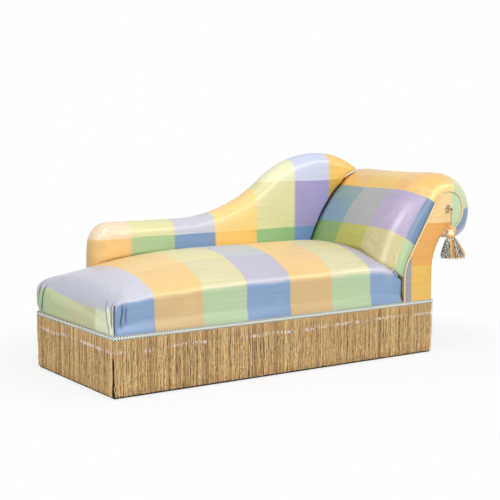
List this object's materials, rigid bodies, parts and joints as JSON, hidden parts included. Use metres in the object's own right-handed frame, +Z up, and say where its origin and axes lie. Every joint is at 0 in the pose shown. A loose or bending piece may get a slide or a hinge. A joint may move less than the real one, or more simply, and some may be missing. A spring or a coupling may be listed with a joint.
{
  "type": "chaise longue",
  "caption": "Upholstered chaise longue with a long crowned seat, a low humped back, one scrolled head end, fringed base and a hanging tassel.",
  "frame": {"origin": "on the floor under the middle of the outer box of the chaise, leaving out the hanging tassel", "axes": "+X from the foot end to the scrolled head end, +Y from the open front to the back, +Z up"},
  "size_m": [1.893, 0.7753, 0.898],
  "materials": {
    "checked_silk": "taffeta with a soft satin sheen, woven in large pastel checks",
    "frame_wood": "planed beech, unfinished",
    "leg_wood": "dark stained, satin",
    "steel": "dull",
    "spring_steel": "coppered, dull",
    "webbing": "jute weave, rough",
    "hessian": "open jute weave",
    "stuffing": "hair and cotton felt, matte",
    "dark_cloth": "plain cotton, matte",
    "fringe_thread": "twisted bullion thread, silky",
    "braid_thread": "gimp braid, fine twist",
    "piping_cord": "twisted cord, silky",
    "tassel_thread": "silky thread and cord"
  },
  "bodies": {
    "root": {"front_rail": "frame_wood", "back_rail": "frame_wood", "foot_rail": "frame_wood", "head_rail": "frame_wood", "foot_cross_bearer": "frame_wood", "head_cross_bearer": "frame_wood", "rail_dowels": "frame_wood", "corner_blocks": "frame_wood", "foot_end_front_leg": "leg_wood", "foot_end_rear_leg": "leg_wood", "head_end_front_leg": "leg_wood", "head_end_rear_leg": "leg_wood", "leg_glides": "steel", "leg_bolts": "steel", "seat_webbing": "webbing", "dust_cover": "dark_cloth", "seat_springs": "spring_steel", "seat_hessian": "hessian", "seat_stuffing": "stuffing", "seat_cover": "checked_silk", "back_bottom_rail": "frame_wood", "back_top_rail": "frame_wood", "back_foot_post": "frame_wood", "back_middle_post": "frame_wood", "back_head_post": "frame_wood", "back_webbing": "webbing", "back_stuffing": "stuffing", "back_cover": "checked_silk", "back_outer_panel": "checked_silk", "front_scroll_board": "frame_wood", "rear_scroll_board": "frame_wood", "head_top_slat": "frame_wood", "head_middle_slat": "frame_wood", "head_low_slat": "frame_wood", "head_webbing": "webbing", "head_stuffing": "stuffing", "head_cover": "checked_silk", "head_outer_panel": "checked_silk", "front_facing": "checked_silk", "rear_facing": "checked_silk", "front_piping": "piping_cord", "rear_piping": "piping_cord", "tuck_roll": "checked_silk", "front_braid": "braid_thread", "back_braid": "braid_thread", "foot_end_braid": "braid_thread", "head_end_braid": "braid_thread", "front_fringe": "fringe_thread", "back_fringe": "fringe_thread", "foot_end_fringe": "fringe_thread", "head_end_fringe": "fringe_thread", "front_skirt_lining": "dark_cloth", "back_skirt_lining": "dark_cloth", "foot_end_skirt_lining": "dark_cloth", "head_end_skirt_lining": "dark_cloth", "tassel_rosette": "tassel_thread"},
    "tassel_hanger": {"tassel_ring": "tassel_thread"},
    "tassel": {"tassel_cord": "tassel_thread", "tassel_head": "tassel_thread", "tassel_skirt": "tassel_thread"}
  },
  "joints": [
    {"name": "tassel_side_swing", "type": "hinge", "parent": "root", "child": "tassel_hanger", "pos_m": [0.748, -0.372, 0.649], "axis": [0, 1, 0], "range_deg": [-35, 35]},
    {"name": "tassel_out_swing", "type": "hinge", "parent": "tassel_hanger", "child": "tassel", "pos_m": [0.748, -0.372, 0.6391], "axis": [-1, 0, 0], "range_deg": [0, 60]}
  ]
}
